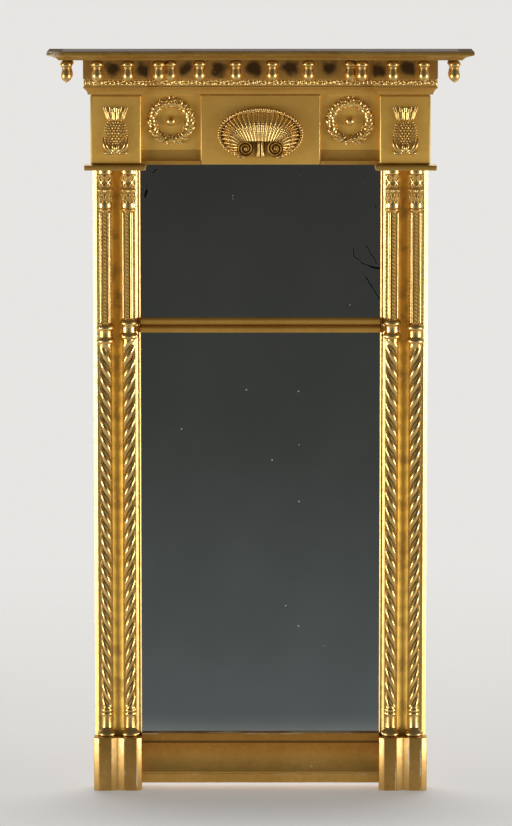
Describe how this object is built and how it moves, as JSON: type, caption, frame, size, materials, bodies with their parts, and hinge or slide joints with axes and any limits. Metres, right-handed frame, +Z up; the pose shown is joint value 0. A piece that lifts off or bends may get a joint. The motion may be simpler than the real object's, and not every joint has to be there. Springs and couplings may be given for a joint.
{
  "type": "giltwood pier mirror",
  "caption": "Tall giltwood wall mirror with paired half-round colonnettes, a carved frieze and a projecting cornice hung with acorn drops over two mirror plates.",
  "frame": {"origin": "on the wall plane and the centre line, level with the pivots of the hanging rings", "axes": "+Z up, +X to the viewer's right, +Y into the wall, so the front faces -Y"},
  "size_m": [0.7714, 0.1294, 1.372],
  "materials": {
    "burnished_gilt": "burnished gold leaf over bole",
    "matte_gilt": "matte gold leaf over gesso",
    "gilt_edge": "thin gold wash on pine",
    "mirror_plate": "aged silvered glass",
    "pine": "aged bare softwood",
    "iron": "dark rusty iron",
    "brass": "dull brass"
  },
  "bodies": {
    "frame": {"acorn_drops": "burnished_gilt", "backboard_nails": "iron", "bed_cove_moulding": "matte_gilt", "bottom_rail": "burnished_gilt", "centre_tablet": "matte_gilt", "cornice_board": "pine", "cornice_moulding": "burnished_gilt", "crossbar": "burnished_gilt", "entablature_core": "pine", "glazing_blocks": "pine", "hanger_plates": "brass", "hanger_screws": "brass", "leaf_band": "matte_gilt", "left_block_slab": "burnished_gilt", "left_end_block": "matte_gilt", "left_facing": "matte_gilt", "left_inner_base_turning": "burnished_gilt", "left_inner_capital": "burnished_gilt", "left_inner_collar": "burnished_gilt", "left_inner_twist_shaft": "burnished_gilt", "left_inner_upper_shaft": "burnished_gilt", "left_outer_base_turning": "burnished_gilt", "left_outer_capital": "burnished_gilt", "left_outer_collar": "burnished_gilt", "left_outer_twist_shaft": "burnished_gilt", "left_outer_upper_shaft": "burnished_gilt", "left_pineapple": "burnished_gilt", "left_plinth": "burnished_gilt", "left_stile": "gilt_edge", "left_wreath": "burnished_gilt", "left_wreath_panel": "matte_gilt", "lower_backboard": "pine", "lower_mirror_plate": "mirror_plate", "panel_coves": "matte_gilt", "plain_band": "matte_gilt", "right_block_slab": "burnished_gilt", "right_end_block": "matte_gilt", "right_facing": "matte_gilt", "right_inner_base_turning": "burnished_gilt", "right_inner_capital": "burnished_gilt", "right_inner_collar": "burnished_gilt", "right_inner_twist_shaft": "burnished_gilt", "right_inner_upper_shaft": "burnished_gilt", "right_outer_base_turning": "burnished_gilt", "right_outer_capital": "burnished_gilt", "right_outer_collar": "burnished_gilt", "right_outer_twist_shaft": "burnished_gilt", "right_outer_upper_shaft": "burnished_gilt", "right_pineapple": "burnished_gilt", "right_plinth": "burnished_gilt", "right_stile": "gilt_edge", "right_wreath": "burnished_gilt", "right_wreath_panel": "matte_gilt", "scallop_shell": "burnished_gilt", "top_rail": "pine", "upper_backboard": "pine", "upper_mirror_plate": "mirror_plate", "wreath_balls": "burnished_gilt"},
    "left_ring": {"left_hanging_ring": "brass"},
    "right_ring": {"right_hanging_ring": "brass"}
  },
  "joints": [
    {"name": "left_ring_swing", "type": "hinge", "parent": "frame", "child": "left_ring", "pos_m": [-0.26325, -0.005, 0], "axis": [1, 0, 0], "range_deg": [0, 170]},
    {"name": "right_ring_swing", "type": "hinge", "parent": "frame", "child": "right_ring", "pos_m": [0.26325, -0.005, 0], "axis": [1, 0, 0], "range_deg": [0, 170]}
  ]
}
